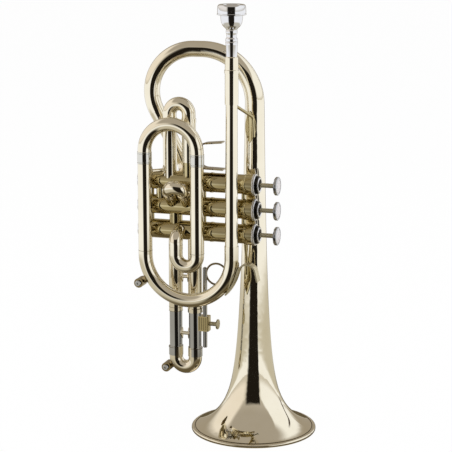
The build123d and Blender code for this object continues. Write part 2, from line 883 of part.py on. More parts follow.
with BuildPart() as first_slide_sleeve:
    low = (first_right_x, first_slide_y, first_sleeve_low_z)
    high = (first_right_x, first_slide_y, first_joint_z)
    add(straight(low, high, tube_radius, sleeve_bore))
write(first_slide_sleeve.part, "first_slide_sleeve")

first_route = u_bend(first_left_x, first_right_x, first_slide_y, first_joint_z, first_crook_z, 1)
left_ferrule_z = first_outer_top_z + closed_gap
with BuildPart() as first_slide_crook:
    add(along(first_route, crook_radius))
    for x, low_z in ((first_left_x, left_ferrule_z), (first_right_x, first_joint_z)):
        low = (x, first_slide_y, low_z)
        add(straight(low, (x, first_slide_y, first_seam_z), ferrule_radius))
    low = (first_left_x, first_slide_y, left_ferrule_z)
    high = (first_left_x, first_slide_y, first_joint_z)
    add(straight(low, high, slide_radius), mode=Mode.SUBTRACT)
    add(along(first_route, bore_radius), mode=Mode.SUBTRACT)
write(first_slide_crook.part, "first_slide_crook")

sleeve_face_x = first_right_x + tube_radius
saddle_back_x = sleeve_face_x + saddle_thickness / 2
with BuildLine() as saddle_route:
    FilletPolyline(
        (sleeve_face_x + saddle_upper_reach, first_slide_y, first_sleeve_low_z + saddle_upper_rise),
        (sleeve_face_x + saddle_upper_bend, first_slide_y, first_sleeve_low_z + saddle_bend_rise),
        (saddle_back_x, first_slide_y, first_sleeve_low_z + saddle_back_top),
        (saddle_back_x, first_slide_y, first_sleeve_low_z + saddle_back_low),
        (sleeve_face_x + saddle_lower_bend, first_slide_y, first_sleeve_low_z - saddle_bend_drop),
        (sleeve_face_x + saddle_lower_reach, first_slide_y, first_sleeve_low_z - saddle_lower_drop),
        radius=[9.0, 4.0, 4.0, 9.0],
    )
sleeve_core = straight(
    (first_right_x, first_slide_y, first_sleeve_low_z - 10.0),
    (first_right_x, first_slide_y, first_seam_z),
    tube_radius,
)
with BuildPart() as thumb_saddle:
    add(strip(saddle_route.wire(), saddle_width, saddle_thickness))
    with Locations((sleeve_face_x - 1.0, first_slide_y, first_sleeve_low_z + 7.5)):
        Box(3.2, saddle_width - 3.0, 13.0)
    add(sleeve_core, mode=Mode.SUBTRACT)
write(thumb_saddle.part, "thumb_saddle")

# ================= second valve slide =================
second_xs = (second_left_x, second_right_x)
second_joint = second_outer_length + closed_gap + second_joint_overlap
with BuildPart() as second_outer_tubes:
    for x in second_xs:
        high = on_valve(1, x, second_up, second_outer_length)
        add(straight(on_valve(1, x), high, tube_radius, sleeve_bore))
    add(casing_core(1), mode=Mode.SUBTRACT)
write(second_outer_tubes.part, "second_outer_tubes")

with BuildPart() as second_slide_tubes:
    for x in second_xs:
        low = on_valve(1, x, second_up, second_inner_start)
        high = on_valve(1, x, second_up, second_joint)
        add(straight(low, high, slide_radius, bore_radius))
write(second_slide_tubes.part, "second_slide_tubes")

second_bend = (second_right_x - second_left_x) / 2
second_middle_x = (second_right_x + second_left_x) / 2
with BuildLine() as second_route:
    Line(
        on_valve(1, second_right_x, second_up, second_joint),
        on_valve(1, second_right_x, second_up, second_crook_length),
    )
    ThreePointArc(
        on_valve(1, second_right_x, second_up, second_crook_length),
        on_valve(1, second_middle_x, second_up, second_crook_length + second_bend),
        on_valve(1, second_left_x, second_up, second_crook_length),
    )
    Line(
        on_valve(1, second_left_x, second_up, second_crook_length),
        on_valve(1, second_left_x, second_up, second_joint),
    )
with BuildPart() as second_slide_crook:
    add(along(second_route.wire(), crook_radius))
    for x in second_xs:
        low = on_valve(1, x, second_up, second_outer_length + closed_gap)
        add(straight(low, on_valve(1, x, second_up, second_crook_length), ferrule_radius))
    for x in second_xs:
        low = on_valve(1, x, second_up, second_outer_length + closed_gap)
        high = on_valve(1, x, second_up, second_joint)
        add(straight(low, high, slide_radius), mode=Mode.SUBTRACT)
    add(along(second_route.wire(), bore_radius), mode=Mode.SUBTRACT)
write(second_slide_crook.part, "second_slide_crook")

# ================= third valve slide =================
third_z = valve_zs[2]
third_xs = (third_left_x, third_right_x)
third_joint_z = third_ferrule_top_z - joint_overlap
with BuildPart() as third_outer_tubes:
    for x in third_xs:
        add(straight((x, valve_y, third_outer_low_z), (x, valve_y, third_z), tube_radius))
    ring_low = (third_right_x, valve_y, third_outer_low_z)
    ring_high = (third_right_x, valve_y, third_outer_low_z + third_end_ring_height)
    add(straight(ring_low, ring_high, tube_radius + 0.55))
    for x in third_xs:
        low = (x, valve_y, third_outer_low_z)
        add(straight(low, (x, valve_y, third_z), sleeve_bore), mode=Mode.SUBTRACT)
    add(casing_core(2), mode=Mode.SUBTRACT)
write(third_outer_tubes.part, "third_outer_tubes")

with BuildPart() as third_slide_tubes:
    for x in third_xs:
        low = (x, valve_y, third_joint_z)
        high = (x, valve_y, third_joint_z + third_inner_length)
        add(straight(low, high, slide_radius, bore_radius))
write(third_slide_tubes.part, "third_slide_tubes")


def key_place(centre, reach, angle):
    """where a water key's barrel sits outside a bend, at an angle round its centre"""
    around = radians(angle)
    return Vector(*centre) + Vector(cos(around), 0, sin(around)) * reach


def key_barrel(place, bend_point, tube):
    """a water key's barrel along Y, joined to its bend by a drilled neck"""
    open_end = place - Vector(0, key_length / 2, 0)
    closed_end = place + Vector(0, key_length / 2, 0)
    inner_end = closed_end - Vector(0, key_end_wall, 0)
    with BuildPart() as barrel:
        add(straight(open_end, closed_end, key_radius))
        add(straight(place, bend_point, key_neck_radius))
        add(straight(open_end, inner_end, key_bore_radius), mode=Mode.SUBTRACT)
        add(straight(place, bend_point, drain_radius), mode=Mode.SUBTRACT)
        add(tube, mode=Mode.SUBTRACT)
    return barrel.part


def key_plunger(place):
    """a water key's plunger, standing out of the open end of its barrel"""
    front_y = place.Y - key_length / 2 - key_head_stand
    points = [
        (0, front_y + 1.0),
        (1.0, front_y + 1.0),
        (1.0, front_y),
        (key_bore_radius - 0.6, front_y),
        (key_bore_radius - plunger_clearance, front_y + 0.5),
        (key_bore_radius - plunger_clearance, front_y + plunger_length),
        (0, front_y + plunger_length),
    ]
    return turned(points, (place.X, 0, place.Z), (0, 1, 0))


third_middle_x = (third_left_x + third_right_x) / 2
third_bend = (third_right_x - third_left_x) / 2
third_centre = (third_middle_x, valve_y, third_crook_z)
third_key_reach = third_bend + crook_radius + third_key_stand + key_radius
third_key_at = key_place(third_centre, third_key_reach, third_key_angle)
third_bend_at = key_place(third_centre, third_bend, third_key_angle)
third_route = u_bend(third_left_x, third_right_x, valve_y, third_joint_z, third_crook_z, -1)
third_skin = along(third_route, crook_radius)
with BuildPart() as third_slide_crook:
    add(third_skin)
    for x in third_xs:
        low = (x, valve_y, third_ferrule_low_z)
        add(straight(low, (x, valve_y, third_ferrule_top_z), ferrule_radius))
    for x in third_xs:
        low = (x, valve_y, third_joint_z)
        add(straight(low, (x, valve_y, third_ferrule_top_z), slide_radius), mode=Mode.SUBTRACT)
    add(along(third_route, bore_radius), mode=Mode.SUBTRACT)
    add(straight(third_key_at, third_bend_at, drain_radius), mode=Mode.SUBTRACT)
write(third_slide_crook.part, "third_slide_crook")
write(key_barrel(third_key_at, third_bend_at, third_skin), "third_key_barrel")
write(key_plunger(third_key_at), "third_key_plunger")

# ================= water key of the big bow =================
bow_centre = (bow_x, leadpipe_y, lead_bow_z)
bow_key_reach = bow_radius + tube_radius + bow_key_stand + key_radius
bow_key_at = key_place(bow_centre, bow_key_reach, bow_key_angle)
bow_bend_at = key_place(bow_centre, bow_radius, bow_key_angle)
with BuildPart() as lead_bow:
    add(along(bow_route.wire(), tube_radius, bore_radius))
    add(straight(bow_key_at, bow_bend_at, drain_radius), mode=Mode.SUBTRACT)
write(lead_bow.part, "lead_bow")
write(key_barrel(bow_key_at, bow_bend_at, bow_outside), "bow_key_barrel")
write(key_plunger(bow_key_at), "bow_key_plunger")

# ================= clamp block, rod, ring and thumb screw =================
# the block stops just short of the outer tubes above it
block_top_z = third_outer_low_z - block_tube_gap
block_middle = ((block_left_x + block_right_x) / 2, valve_y, (block_low_z + block_top_z) / 2)
with BuildPart() as rod_clamp_block:
    with Locations(block_middle):
        Box(block_right_x - block_left_x, block_depth, block_top_z - block_low_z)
    fillet(rod_clamp_block.edges().filter_by(Axis.Z), radius=1.2)
    low = (third_right_x, valve_y, block_low_z)
    add(straight(low, (third_right_x, valve_y, block_top_z), slide_radius), mode=Mode.SUBTRACT)
    low = (rod_x, valve_y, block_low_z)
    high = (rod_x, valve_y, block_top_z)
    add(straight(low, high, rod_radius + rod_clearance), mode=Mode.SUBTRACT)
    low = (rod_x, valve_y, screw_z)
    high = (block_right_x, valve_y, screw_z)
    add(straight(low, high, screw_radius + rod_clearance), mode=Mode.SUBTRACT)
write(rod_clamp_block.part, "rod_clamp_block")

rod_points = [
    (0, rod_low_z),
    (rod_radius - 0.6, rod_low_z),
    (rod_radius, rod_low_z + 0.6),
    (rod_radius, rod_top_z - 0.9),
    (rod_radius - 0.9, rod_top_z),
    (0, rod_top_z),
]
with BuildPart() as ring_rod:
    add(turned(rod_points, (rod_x, valve_y, 0), (0, 0, 1)))
write(ring_rod.part, "ring_rod")

ring_middle_x = rod_x + ring_radius + rod_radius - ring_wire + 0.2
with BuildPart() as finger_ring:
    with BuildSketch(Plane.XY.offset(ring_z)):
        with Locations((ring_middle_x + ring_radius, valve_y)):
            Circle(ring_wire)
    revolve(axis=Axis((ring_middle_x, valve_y, ring_z), (0, 1, 0)))
    add(ring_rod.part, mode=Mode.SUBTRACT)
write(finger_ring.part, "finger_ring")

screw_tip_x = rod_x + rod_radius + screw_tip_gap
head_low_x = screw_tip_x + screw_length
head_top_x = head_low_x + screw_head_thickness
screw_points = [
    (0, screw_tip_x),
    (screw_radius - 0.4, screw_tip_x),
    (screw_radius, screw_tip_x + 0.4),
    (screw_radius, head_low_x - 1.2),
    (screw_radius + 0.9, head_low_x - 0.6),
    (screw_radius + 0.9, head_low_x),
    (screw_head_radius - 0.3, head_low_x),
    (screw_head_radius, head_low_x + 0.3),
    (screw_head_radius, head_top_x - 0.3),
    (screw_head_radius - 0.3, head_top_x),
    (0, head_top_x),
]
with BuildPart() as thumb_screw:
    add(turned(screw_points, (0, valve_y, screw_z), (1, 0, 0)))
write(thumb_screw.part, "thumb_screw")


# ================= braces between tubes =================
def tube_core(x, y, z, radius):
    """a solid cylinder where an upright tube passes a brace"""
    return straight((x, y, z - 12.0), (x, y, z + 12.0), radius)


def flange(x, y, z, way, radius, height):
    """a thin diamond plate that hugs the side of an upright tube"""
    side = Vector(0, 0, 1).cross(way)
    corners = [(brace_flange_width / 2, 0), (0, height / 2), (-brace_flange_width / 2, 0), (0, -height / 2)]
    with BuildPart() as plate:
        with BuildSketch(Plane(origin=(x, y, z), x_dir=side, z_dir=way)):
            with BuildLine():
                Polyline(*corners, close=True)
            make_face()
        extrude(amount=radius + brace_flange_thickness)
        add(tube_core(x, y, z, radius + brace_flange_thickness), mode=Mode.INTERSECT)
        add(tube_core(x, y, z, radius), mode=Mode.SUBTRACT)
    return plate.part


def tube_brace(first, second, z, first_radius, second_radius, height=brace_flange_height):
    """a rod with a diamond flange at each end, between two upright tubes"""
    way = (Vector(*second, 0) - Vector(*first, 0)).normalized()
    with BuildPart() as brace:
        add(straight((*first, z), (*second, z), brace_rod_radius))
        add(flange(*first, z, way, first_radius, height))
        add(flange(*second, z, way * -1, second_radius, height))
        add(tube_core(*first, z, first_radius), mode=Mode.SUBTRACT)
        add(tube_core(*second, z, second_radius), mode=Mode.SUBTRACT)
    return brace.part


third_left = (third_left_x, valve_y)
third_right = (third_right_x, valve_y)
third_slide_brace = tube_brace(third_left, third_right, third_brace_z, slide_radius, slide_radius)
write(third_slide_brace, "third_slide_brace")

main_left = (main_left_x, leadpipe_y)
first_left = (first_left_x, first_slide_y)
with BuildPart() as slide_braces:
    add(tube_brace(third_left, third_right, third_outer_brace_z, tube_radius, tube_radius))
    add(tube_brace(main_left, first_left, slide_brace_z, tube_radius, tube_radius, slide_brace_height))
    add(casing_core(0), mode=Mode.SUBTRACT)
write(slide_braces.part, "slide_braces")

# ================= posts and leaf braces to the bell =================
taper_top = (leadpipe_x, leadpipe_y, sleeve_low_z - 1.0)
taper_low = (leadpipe_x, leadpipe_y, leadpipe_low_z)
sleeve_low = (leadpipe_x, leadpipe_y, sleeve_low_z)
sleeve_top = (leadpipe_x, leadpipe_y, sleeve_top_z)
taper = Edge.make_line(taper_top, taper_low)
leadpipe_core = [
    cone_along(taper, leadpipe_top_radius, leadpipe_low_radius),
    straight(taper_top, sleeve_low, leadpipe_top_radius),
    straight(sleeve_low, sleeve_top, sleeve_radius),
]
with BuildPart() as casing_posts:
    for z in (valve_zs[0], valve_zs[2]):
        add(straight((leadpipe_post_x, leadpipe_y, z), (leadpipe_post_x, valve_y, z), post_radius))
        add(straight((bell_post_x, valve_y, z), (bell_post_x, 0, z), post_radius))
    add(leadpipe_core, mode=Mode.SUBTRACT)
    for z in (valve_zs[0], valve_zs[2]):
        add(bell_core(bell_seat_gap, z - bell_cut_reach, z + bell_cut_reach), mode=Mode.SUBTRACT)
    for number in (0, 2):
        add(casing_core(number), mode=Mode.SUBTRACT)
write(casing_posts.part, "casing_posts")


def bell_side(angle, z, away):
    """a point off the bell's surface, at an angle from its front and a distance away"""
    reach = bell_radius(z) + away
    return Vector(reach * sin(radians(angle)), -reach * cos(radians(angle)), z)


def bell_leaf(angle, low_z, height, width):
    """a thin leaf-shaped foot that lies on the bell"""
    half = width / 2
    way = Vector(sin(radians(angle)), -cos(radians(angle)), 0)
    leaf_plane = Plane(origin=(0, 0, low_z), x_dir=Vector(0, 0, 1).cross(way), z_dir=way)
    with BuildPart() as leaf:
        with BuildSketch(leaf_plane):
            with BuildLine():
                ThreePointArc((0, 0), (half, height * 0.5), (0, height))
                ThreePointArc((0, height), (-half, height * 0.5), (0, 0))
            make_face()
        extrude(amount=bell_rim_radius)
        core = bell_core(leaf_thickness, low_z - 4.0, low_z + height + 4.0)
        add(core, mode=Mode.INTERSECT)
        core = bell_core(bell_seat_gap, low_z - 4.0, low_z + height + 4.0)
        add(core, mode=Mode.SUBTRACT)
    return leaf.part


upper_top_z = upper_leaf_low_z + upper_leaf_height
lower_top_z = lower_leaf_low_z + lower_leaf_height
rod_lift = leaf_thickness + strut_radius * 0.6
with BuildLine() as upper_strut:
    FilletPolyline(
        (leadpipe_x, leadpipe_y, sleeve_low_z + 1.0),
        bell_side(8.0, upper_top_z - 5.0, rod_lift + 2.0),
        bell_side(12.0, upper_leaf_low_z + 6.0, rod_lift),
        radius=4.0,
    )
with BuildLine() as lower_strut:
    FilletPolyline(
        (bell_post_x + 1.0, valve_y + 5.0, valve_zs[2]),
        bell_side(lower_leaf_angle, lower_top_z + 1.0, rod_lift + 1.0),
        bell_side(lower_leaf_angle, lower_top_z - 14.0, rod_lift),
        radius=4.0,
    )
with BuildPart() as bell_braces:
    add(along(upper_strut.wire(), strut_radius))
    add(bell_leaf(upper_leaf_angle, upper_leaf_low_z, upper_leaf_height, upper_leaf_width))
    add(along(lower_strut.wire(), strut_radius))
    add(bell_leaf(lower_leaf_angle, lower_leaf_low_z, lower_leaf_height, lower_leaf_width))
    add(leadpipe_core, mode=Mode.SUBTRACT)
    add(casing_core(2), mode=Mode.SUBTRACT)
    low_z = lower_leaf_low_z - bell_cut_reach
    add(bell_core(bell_seat_gap, low_z, lower_top_z + 2 * bell_cut_reach), mode=Mode.SUBTRACT)
    low_z = upper_leaf_low_z - bell_cut_reach
    add(bell_core(bell_seat_gap, low_z, bell_top), mode=Mode.SUBTRACT)
write(bell_braces.part, "bell_braces")

# ================= hook for the little finger =================
def round_bow(reach, angle):
    """a point in the big bow's plane, at a distance and an angle from its centre"""
    return key_place(bow_centre, reach, angle)


hook_reach = bow_radius + tube_radius + hook_plate_thickness + hook_thickness / 2 - 0.3
with BuildLine() as hook_route:
    arc_middle = (hook_low_angle + hook_leave_angle) / 2
    ThreePointArc(
        round_bow(hook_reach, hook_low_angle),
        round_bow(hook_reach, arc_middle),
        round_bow(hook_reach, hook_leave_angle),
    )
    FilletPolyline(
        round_bow(hook_reach, hook_leave_angle),
        (bow_x + hook_near_x, leadpipe_y, lead_bow_z - hook_seat_drop),
        (bow_x + hook_far_x, leadpipe_y, lead_bow_z - hook_seat_drop),
        (bow_x + hook_tip_x, leadpipe_y, lead_bow_z - hook_tip_drop),
        radius=[9.0, 7.5],
    )
plate_way = round_bow(1, hook_plate_angle) - Vector(*bow_centre)
plate_plane = Plane(origin=round_bow(bow_radius, hook_plate_angle), x_dir=(0, 1, 0), z_dir=plate_way)
with BuildPart() as hook_plate:
    with BuildSketch(plate_plane):
        with BuildLine():
            half_width = hook_plate_width / 2
            half_length = hook_plate_length / 2
            ThreePointArc((0, -half_length), (half_width, 0), (0, half_length))
            ThreePointArc((0, half_length), (-half_width, 0), (0, -half_length))
        make_face()
    extrude(amount=tube_radius * 2)
    add(along(bow_route.wire(), tube_radius + hook_plate_thickness), mode=Mode.INTERSECT)
with BuildPart() as pinky_hook:
    add(strip(hook_route.wire(), hook_width, hook_thickness))
    add(hook_plate.part)
    add(bow_outside, mode=Mode.SUBTRACT)
write(pinky_hook.part, "pinky_hook")
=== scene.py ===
# Shepherd's-crook cornet: materials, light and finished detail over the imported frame.
import json
import math

import bmesh
import bpy
import numpy as np
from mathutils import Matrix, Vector


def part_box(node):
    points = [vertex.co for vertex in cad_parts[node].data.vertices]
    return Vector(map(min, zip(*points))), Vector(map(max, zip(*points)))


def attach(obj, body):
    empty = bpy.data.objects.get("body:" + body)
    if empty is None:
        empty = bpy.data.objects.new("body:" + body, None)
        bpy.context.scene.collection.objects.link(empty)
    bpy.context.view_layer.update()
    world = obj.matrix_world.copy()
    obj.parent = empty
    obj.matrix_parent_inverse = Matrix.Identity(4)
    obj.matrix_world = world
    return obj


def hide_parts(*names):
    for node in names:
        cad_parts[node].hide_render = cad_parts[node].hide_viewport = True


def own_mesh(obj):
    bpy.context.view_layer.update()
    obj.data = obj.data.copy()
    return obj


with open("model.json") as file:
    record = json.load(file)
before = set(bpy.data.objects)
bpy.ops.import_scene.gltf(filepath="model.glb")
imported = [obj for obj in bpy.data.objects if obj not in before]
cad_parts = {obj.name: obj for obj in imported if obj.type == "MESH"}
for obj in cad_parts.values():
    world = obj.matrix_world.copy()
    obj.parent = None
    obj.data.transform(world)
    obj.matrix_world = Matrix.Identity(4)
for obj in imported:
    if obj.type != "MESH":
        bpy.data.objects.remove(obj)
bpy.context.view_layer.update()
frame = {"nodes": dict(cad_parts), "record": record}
nodes = frame["nodes"]
print("frame loaded,", len(nodes), "nodes")


def hexColour(text):
    # each sRGB byte to a linear value, with an opaque alpha
    channels = [int(text[i:i + 2], 16) / 255 for i in (1, 3, 5)]
    linear = [c / 12.92 if c <= 0.04045 else ((c + 0.055) / 1.055) ** 2.4 for c in channels]
    return (*linear, 1.0)


def addNode(tree, kind, settings=None, inputs=None, links=None):
    # one node with its settings, its socket values and the sockets that feed it
    node = tree.nodes.new(kind)
    for name, value in (settings or {}).items():
        setattr(node, name, value)
    for name, value in (inputs or {}).items():
        node.inputs[name].default_value = value
    for name, source in (links or {}).items():
        tree.links.new(source, node.inputs[name])
    return node


def newMaterial(name):
    material = bpy.data.materials.new(name)
    material.use_nodes = True
    material.node_tree.nodes.clear()
    return material, material.node_tree


def gridMesh(name, points, closedU=False, closedV=False):
    # quads over one or more grids of points, rows by columns, joined round
    # where the grid closes
    grids = points.reshape(-1, *points.shape[-3:])
    shells, rows, columns = grids.shape[:3]
    r = np.arange(rows if closedU else rows - 1)
    c = np.arange(columns if closedV else columns - 1)
    shell, row, column = np.meshgrid(np.arange(shells), r, c, indexing="ij")
    start = shell * rows * columns
    nextRow, nextColumn = (row + 1) % rows, (column + 1) % columns
    corners = [row * columns + column, nextRow * columns + column]
    corners += [nextRow * columns + nextColumn, row * columns + nextColumn]
    faces = np.stack([start + corner for corner in corners], axis=-1).reshape(-1, 4)
    mesh = bpy.data.meshes.new(name)
    mesh.from_pydata(grids.reshape(-1, 3).tolist(), [], faces.tolist())
    mesh.polygons.foreach_set("use_smooth", [True] * len(mesh.polygons))
    mesh.update()
    thing = bpy.data.objects.new(name, mesh)
    bpy.context.scene.collection.objects.link(thing)
    return thing


polishedMetals = {
    # name: colour, colour where handled, lowest and highest roughness, lacquer
    # buffed on a mop and lacquered: a pale gold mirror
    "lacqueredBrassBuffed": ("#F7F1E0", "#ECE4CE", 0.018, 0.05, 0.3),
    # the same lacquered brass, painted darker and yellower: painted shade among the valves and
    # between parts
    "lacqueredBrassPaintedShade": ("#CDC096", "#B2A479", 0.03, 0.08, 0.3),
    # brushed before lacquering: a broad soft sheen and no mirror
    "lacqueredBrassBrushed": ("#DDD4B6", "#C6BB96", 0.26, 0.38, 0.2),
    # brass browned by fingers under thin lacquer
    "lacqueredBrassBrown": ("#A39470", "#857653", 0.06, 0.14, 0.3),
    # silver plate polished last: the clearest mirror, and neutral
    "silverPlatePolished": ("#EFF0F3", "#E3E4E8", 0.015, 0.045, 0.0),
    # drawn nickel silver: a grey mirror, cooler and darker than silver
    "nickelSilverPolished": ("#C5C7CA", "#AFB1B5", 0.03, 0.08, 0.0),
    # nickel alloy honed on a stone: warm grey with a dull gleam
    "nickelAlloyHoned": ("#CFC8AC", "#B5AD92", 0.22, 0.34, 0.0),
    # nickel silver turned and buffed: pale and bright
    "nickelSilverBright": ("#E4E3DD", "#D3D2CB", 0.02, 0.05, 0.0),
    # near black nickel: a painted dark reflection on the cap domes, with small highlights
    "nickelPaintedDarkReflection": ("#3A3733", "#24221F", 0.08, 0.2, 0.0),
    # soft solder left as it ran: brown and matt
    "solderTarnished": ("#6E5F45", "#4C4131", 0.3, 0.5, 0.0),
    # spring steel as it leaves the die: grey with a satin sheen
    "springSteelDrawn": ("#8E8E90", "#6C6C70", 0.2, 0.35, 0.0),
}
handling = {
    "patch": 0.018,  # metres across
    "detail": 3.0,
    "fades": (0.3, 0.7),  # noise values between which the roughness climbs
    "coatRoughness": 0.03,
}


def polishedMetal(name):
    # buffed metal mirrors its surroundings; handling leaves soft cloudy patches
    # that are a little duller and darker
    colour, handled, smooth, rough, lacquer = polishedMetals[name]
    fadeLow, fadeHigh = handling["fades"]
    material, tree = newMaterial(name)
    place = addNode(tree, "ShaderNodeTexCoord")
    patches = addNode(
        tree, "ShaderNodeTexNoise",
        inputs={"Scale": 1 / handling["patch"], "Detail": handling["detail"]},
        links={"Vector": place.outputs["Object"]},
    )
    # sockets 6 and 7 of a mix node are its two colours, and output 2 the mixed one
    tone = addNode(
        tree, "ShaderNodeMix",
        settings={"data_type": "RGBA"},
        inputs={6: hexColour(colour), 7: hexColour(handled)},
        links={"Factor": patches.outputs["Fac"]},
    )
    gloss = addNode(
        tree, "ShaderNodeMapRange",
        inputs={"From Min": fadeLow, "From Max": fadeHigh, "To Min": smooth, "To Max": rough},
        links={"Value": patches.outputs["Fac"]},
    )
    coat = {"Coat Weight": lacquer, "Coat Roughness": handling["coatRoughness"]}
    shader = addNode(
        tree, "ShaderNodeBsdfPrincipled",
        inputs={"Metallic": 1.0, **coat},
        links={"Base Color": tone.outputs[2], "Roughness": gloss.outputs["Result"]},
    )
    addNode(tree, "ShaderNodeOutputMaterial", links={"Surface": shader.outputs["BSDF"]})
    return material


materials = {name: polishedMetal(name) for name in polishedMetals}

softFinishes = {
    # name: colour, second colour, roughness, grain in metres, bump depth in metres
    # pressed wool felt: a dense mat of fibres, quite matt
    "woolFeltBlack": ("#24211E", "#37332E", 0.95, 0.0005, 0.0001),
    # moulded nylon: cream, with the mould's faint skin
    "nylonMoulded": ("#E4E0D2", "#D8D3C2", 0.45, 0.0012, 0.00001),
    # ground shell: drifting white and rosy grey layers about 2 mm wide
    "motherOfPearlGround": ("#FBF6F3", "#DCD6D9", 0.14, 0.0022, 0.000005),
}
softGrain = {"detail": 4.0, "distortion": 0.8, "relief": 0.5}


def softFinish(name):
    # one noise gives both the drift between the two colours and the bump
    colour, second, rough, grain, depth = softFinishes[name]
    material, tree = newMaterial(name)
    place = addNode(tree, "ShaderNodeTexCoord")
    fibre = addNode(
        tree, "ShaderNodeTexNoise",
        inputs={
            "Scale": 1 / grain,
            "Detail": softGrain["detail"],
            "Distortion": softGrain["distortion"],
        },
        links={"Vector": place.outputs["Object"]},
    )
    tone = addNode(
        tree, "ShaderNodeMix",
        settings={"data_type": "RGBA"},
        inputs={6: hexColour(colour), 7: hexColour(second)},
        links={"Factor": fibre.outputs["Fac"]},
    )
    relief = addNode(
        tree, "ShaderNodeBump",
        inputs={"Strength": softGrain["relief"], "Distance": depth},
        links={"Height": fibre.outputs["Fac"]},
    )
    shader = addNode(
        tree, "ShaderNodeBsdfPrincipled",
        inputs={"Roughness": rough},
        links={"Base Color": tone.outputs[2], "Normal": relief.outputs["Normal"]},
    )
    addNode(tree, "ShaderNodeOutputMaterial", links={"Surface": shader.outputs["BSDF"]})
    return material


materials.update({name: softFinish(name) for name in softFinishes})
print("materials made:", len(materials))

slotFinish = {
    "lacquered_brass": "lacqueredBrassBuffed",
    "silver_plate": "silverPlatePolished",
    "nickel_silver": "nickelSilverPolished",
    "nickel_alloy": "nickelAlloyHoned",
    "spring_steel": "springSteelDrawn",
    "rim_wire": "springSteelDrawn",
    "shell_inlay": "motherOfPearlGround",
    "felt": "woolFeltBlack",
    "guide_nylon": "nylonMoulded",
}
slotOf = {entry["node"]: entry["material_slot"] for entry in frame["record"]["subparts"]}

# brass among the valves and joints is painted darker as shade between the parts, and browned
# where fingers hold or press
shadedAndWornNodes = {
    "lacqueredBrassPaintedShade": (
        "valve_casing_1", "valve_casing_2", "valve_casing_3", "casing_knuckles",
        "casing_posts", "casing_spacers", "first_fixed_tube", "second_outer_tubes",
        "rod_clamp_block", "bell_braces",
    ),
    "lacqueredBrassBrown": (
        "thumb_saddle", "finger_ring", "bow_key_barrel", "third_key_barrel",
    ),
    "lacqueredBrassBrushed": ("pinky_hook",),
    "nickelAlloyHoned": ("thumb_screw",),
}
shadedAndWornFinish = {name: finish for finish, names in shadedAndWornNodes.items() for name in names}
for name, node in nodes.items():
    finish = shadedAndWornFinish.get(name, slotFinish[slotOf[name]])
    node.data.materials.clear()
    node.data.materials.append(materials[finish])
print("finishes put on the nodes")


def curved(points, spans=6):
    # a smooth line through every point: between two neighbours it is their cubic
    # Hermite blend, with slopes taken from the points on either side
    knots = np.array(points, dtype=float)
    slopes = np.gradient(knots, axis=0)
    t = np.linspace(0, 1, spans, endpoint=False)[None, :, None]
    here, there = knots[:-1, None], knots[1:, None]
    leave, arrive = slopes[:-1, None], slopes[1:, None]
    line = (2 * t**3 - 3 * t**2 + 1) * here + (t**3 - 2 * t**2 + t) * leave
    line = line + (3 * t**2 - 2 * t**3) * there + (t**3 - t**2) * arrive
    return [tuple(p) for p in line.reshape(-1, knots.shape[1])] + [tuple(knots[-1])]


meshCare = {"weldWithin": 1e-7, "sharpAbove": 38}  # metres, and degrees between faces


def weldPoints(thing, outwards=False):
    # points that fall together, at poles and closed ends, become one
    joined = bmesh.new()
    joined.from_mesh(thing.data)
    bmesh.ops.remove_doubles(joined, verts=joined.verts, dist=meshCare["weldWithin"])
    if outwards:
        bmesh.ops.recalc_face_normals(joined, faces=joined.faces)
    joined.to_mesh(thing.data)
    joined.free()


def turnedPiece(name, profile, centres, body, finish, axis="z", steps=128, ridges=0):
    # radius and height in mm are carried round an axis at each centre and closed
    # back to the first point; a third value swings the radius in and out as
    # r + swing cos(ridges x turn), which cuts a knurl
    radius, height, swing = np.array([(*row, 0.0)[:3] for row in profile]).T / 1000
    turn = np.linspace(0, 2 * math.pi, steps, endpoint=False)[:, None]
    reach = radius + swing * np.cos(ridges * turn)
    across, upward, along = reach * np.cos(turn), reach * np.sin(turn), height + 0 * turn
    parts = (along, across, upward) if axis == "x" else (across, upward, along)
    shells = np.stack(parts, axis=-1)[None] + np.array(centres)[:, None, None, :]
    thing = gridMesh(name, shells, closedU=True, closedV=True)
    weldPoints(thing)
    thing.data.set_sharp_from_angle(angle=math.radians(meshCare["sharpAbove"]))
    thing.data.materials.append(materials[finish])
    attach(thing, body)
    return thing


def middleOf(name):
    low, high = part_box(name)
    return [(a + b) / 2 for a, b in zip(low, high)]


def legPlaces(node, inset, height=0.0, depthNode=None):
    # the axes of a bow's two legs, each inset mm from a side of the node's box
    low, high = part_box(node)
    depth = middleOf(depthNode or node)[1]
    return [(x, depth, height) for x in (low[0] + inset / 1000, high[0] - inset / 1000)]


def wireProfile(radius, height, thickness, count=16):
    # a round wire's section: radius + t cos(a), height + t sin(a)
    angles = np.linspace(0, 2 * math.pi, count, endpoint=False)
    return [(radius + thickness * math.cos(a), height + thickness * math.sin(a)) for a in angles]


def ferruleProfile(bore, skin, ends, low, high):
    # a tube's section, alike at both ends; each row is mm inside the skin and mm
    # from the end
    foot = [(skin - inset, low + rise) for inset, rise in ends]
    head = [(skin - inset, high - rise) for inset, rise in reversed(ends)]
    return [(bore, low), *foot, *head, (bore, high)]


def liftedProfile(profile, base):
    # heights counted from a base; a knurl's swing stays as it is
    return [(radius, base + rise, *swing) for radius, rise, *swing in profile]


